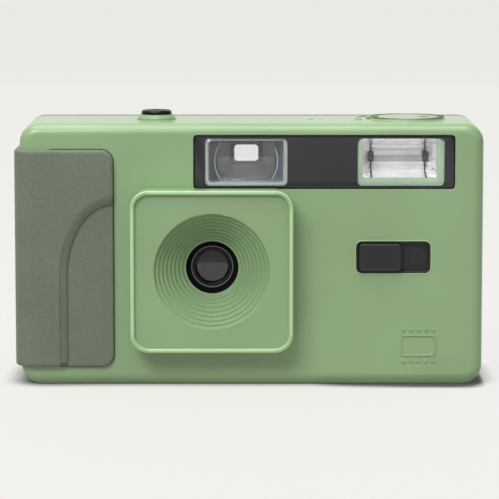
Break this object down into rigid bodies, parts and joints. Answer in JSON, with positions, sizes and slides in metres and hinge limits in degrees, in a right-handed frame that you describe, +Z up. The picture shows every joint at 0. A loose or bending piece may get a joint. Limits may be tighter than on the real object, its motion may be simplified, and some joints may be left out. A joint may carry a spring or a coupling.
{
  "type": "film camera",
  "caption": "Compact reusable 35 mm film camera with a fixed wide lens, built-in flash, side grip, film door, winding wheel and folding rewind crank.",
  "frame": {"origin": "on the flat base, under the middle of the case's width and depth", "axes": "+Z up, lens looks along -Y, +X to the right seen from the front"},
  "size_m": [0.1159, 0.0401, 0.0668],
  "materials": {
    "green_shell": "satin moulded",
    "soft_grip": "matte soft-touch, fine grain",
    "black_plastic": "fine spark texture",
    "window_black": "polished",
    "clear_plastic": "clear polished",
    "lens_glass": "coated, polished",
    "flash_glass": "clear tube",
    "mirror_chrome": "bright",
    "grey_metal": "grey anodised",
    "steel": "plain",
    "nickel": "nickel plated",
    "circuit_board": "solder mask",
    "winding": "taped winding",
    "capacitor_sleeve": "shrink sleeve",
    "cell_wrap": "plain wrap",
    "counter_white": "white with plain numbers",
    "lamp_orange": "tinted clear",
    "seal_foam": "light-sealing foam"
  },
  "bodies": {
    "camera_body": {"front_shell": "green_shell", "lens_panel": "green_shell", "lens_barrel": "black_plastic", "lens_retaining_ring": "grey_metal", "lens_element": "lens_glass", "aperture_plate": "black_plastic", "shutter_plate": "steel", "film_rails": "black_plastic", "light_tunnel": "black_plastic", "cartridge_chamber": "black_plastic", "takeup_chamber": "black_plastic", "chassis_deck": "black_plastic", "chassis_floor": "black_plastic", "shutter_bulkhead": "black_plastic", "rewind_well": "green_shell", "counter_window": "clear_plastic", "rear_cover": "black_plastic", "eyepiece_window": "clear_plastic", "ready_lamp": "lamp_orange", "hinge_pin": "steel", "window_strip": "window_black", "viewfinder_window": "clear_plastic", "viewfinder_objective": "clear_plastic", "viewfinder_tunnel": "black_plastic", "flash_window": "clear_plastic", "flash_reflector": "mirror_chrome", "flash_tube": "flash_glass", "flash_board": "circuit_board", "flash_transformer": "winding", "flash_capacitor": "capacitor_sleeve", "shutter_collar": "green_shell", "switch_tray": "black_plastic", "grip_pad": "soft_grip", "battery_cell": "cell_wrap", "battery_contact_upper": "nickel", "base_screws": "steel", "strap_bar": "steel"},
    "shutter_button": {"shutter_button": "black_plastic"},
    "release_lever": {"release_lever": "black_plastic"},
    "shutter_blade": {"shutter_blade": "steel"},
    "flash_switch": {"flash_switch": "black_plastic"},
    "back_door": {"back_door": "black_plastic", "door_catch": "black_plastic", "film_window": "clear_plastic", "door_seals": "seal_foam"},
    "pressure_plate": {"pressure_plate": "steel", "pressure_spring": "steel"},
    "door_latch": {"door_latch": "black_plastic"},
    "rewind_bush": {"rewind_bush": "black_plastic"},
    "rewind_knob": {"rewind_knob": "green_shell", "rewind_shaft": "black_plastic"},
    "rewind_crank": {"rewind_crank": "green_shell"},
    "crank_handle": {"crank_handle": "black_plastic"},
    "film_advance": {"thumb_wheel": "black_plastic", "takeup_spool": "black_plastic"},
    "film_sprocket": {"film_sprocket": "black_plastic"},
    "frame_counter": {"counter_drum": "counter_white"},
    "rewind_release": {"rewind_release": "black_plastic"},
    "battery_door": {"battery_door": "green_shell", "battery_contact_lower": "nickel"}
  },
  "joints": [
    {"name": "shutter_press", "type": "slide", "parent": "camera_body", "child": "shutter_button", "axis": [0, 0, -1], "range_m": [0, 0.001], "stiffness_N_per_m": 600},
    {"name": "lever_rock", "type": "hinge", "parent": "camera_body", "child": "release_lever", "pos_m": [-0.017, -0.0065, 0.0555], "axis": [0, 1, 0], "range_deg": [-10, 0], "stiffness_Nm_per_rad": 0.002},
    {"name": "blade_swing", "type": "hinge", "parent": "camera_body", "child": "shutter_blade", "pos_m": [-0.00375, -0.0074, 0.03425], "axis": [0, 1, 0], "range_deg": [0, 45], "stiffness_Nm_per_rad": 0.0005},
    {"name": "flash_slide", "type": "slide", "parent": "camera_body", "child": "flash_switch", "axis": [1, 0, 0], "range_m": [0, 0.0066]},
    {"name": "door_swing", "type": "hinge", "parent": "camera_body", "child": "back_door", "pos_m": [-0.0546, 0.01425, 0.025], "axis": [0, 0, 1], "range_deg": [0, 110]},
    {"name": "pressure_float", "type": "slide", "parent": "back_door", "child": "pressure_plate", "axis": [0, 1, 0], "range_m": [0, 0.0006], "stiffness_N_per_m": 300},
    {"name": "latch_slide", "type": "slide", "parent": "camera_body", "child": "door_latch", "axis": [0, 0, -1], "range_m": [0, 0.003], "stiffness_N_per_m": 300},
    {"name": "rewind_lift", "type": "slide", "parent": "camera_body", "child": "rewind_bush", "axis": [0, 0, 1], "range_m": [0, 0.0048]},
    {"name": "rewind_spin", "type": "hinge", "parent": "rewind_bush", "child": "rewind_knob", "pos_m": [0.0387, 0.0018, 0.06], "axis": [0, 0, 1], "continuous": true},
    {"name": "crank_fold", "type": "hinge", "parent": "rewind_knob", "child": "rewind_crank", "pos_m": [0.0323, 0.0018, 0.0644], "axis": [0, -1, 0], "range_deg": [0, 155]},
    {"name": "handle_spin", "type": "hinge", "parent": "rewind_crank", "child": "crank_handle", "pos_m": [0.0433, 0.0018, 0.0644], "axis": [0, 0, 1], "continuous": true},
    {"name": "film_advance_turn", "type": "hinge", "parent": "camera_body", "child": "film_advance", "pos_m": [-0.0428, 0.0052, 0.054], "axis": [0, 0, 1], "continuous": true},
    {"name": "sprocket_turn", "type": "hinge", "parent": "camera_body", "child": "film_sprocket", "pos_m": [-0.0255, 0.00615, 0.043], "axis": [0, 0, 1], "continuous": true},
    {"name": "counter_turn", "type": "hinge", "parent": "camera_body", "child": "frame_counter", "pos_m": [-0.01591, 0.0072, 0.054], "axis": [0, 0, 1], "continuous": true},
    {"name": "release_press", "type": "slide", "parent": "camera_body", "child": "rewind_release", "axis": [0, 0, 1], "range_m": [0, 0.0012], "stiffness_N_per_m": 300},
    {"name": "battery_door_swing", "type": "hinge", "parent": "camera_body", "child": "battery_door", "pos_m": [0.0174, 0.0006, 0.001], "axis": [1, 0, 0], "range_deg": [0, 100]}
  ],
  "couplings": [
    {"joint": "lever_rock", "follows": "shutter_press", "rad_per_m": -169.49},
    {"joint": "counter_turn", "follows": "sprocket_turn", "ratio": -0.025}
  ]
}
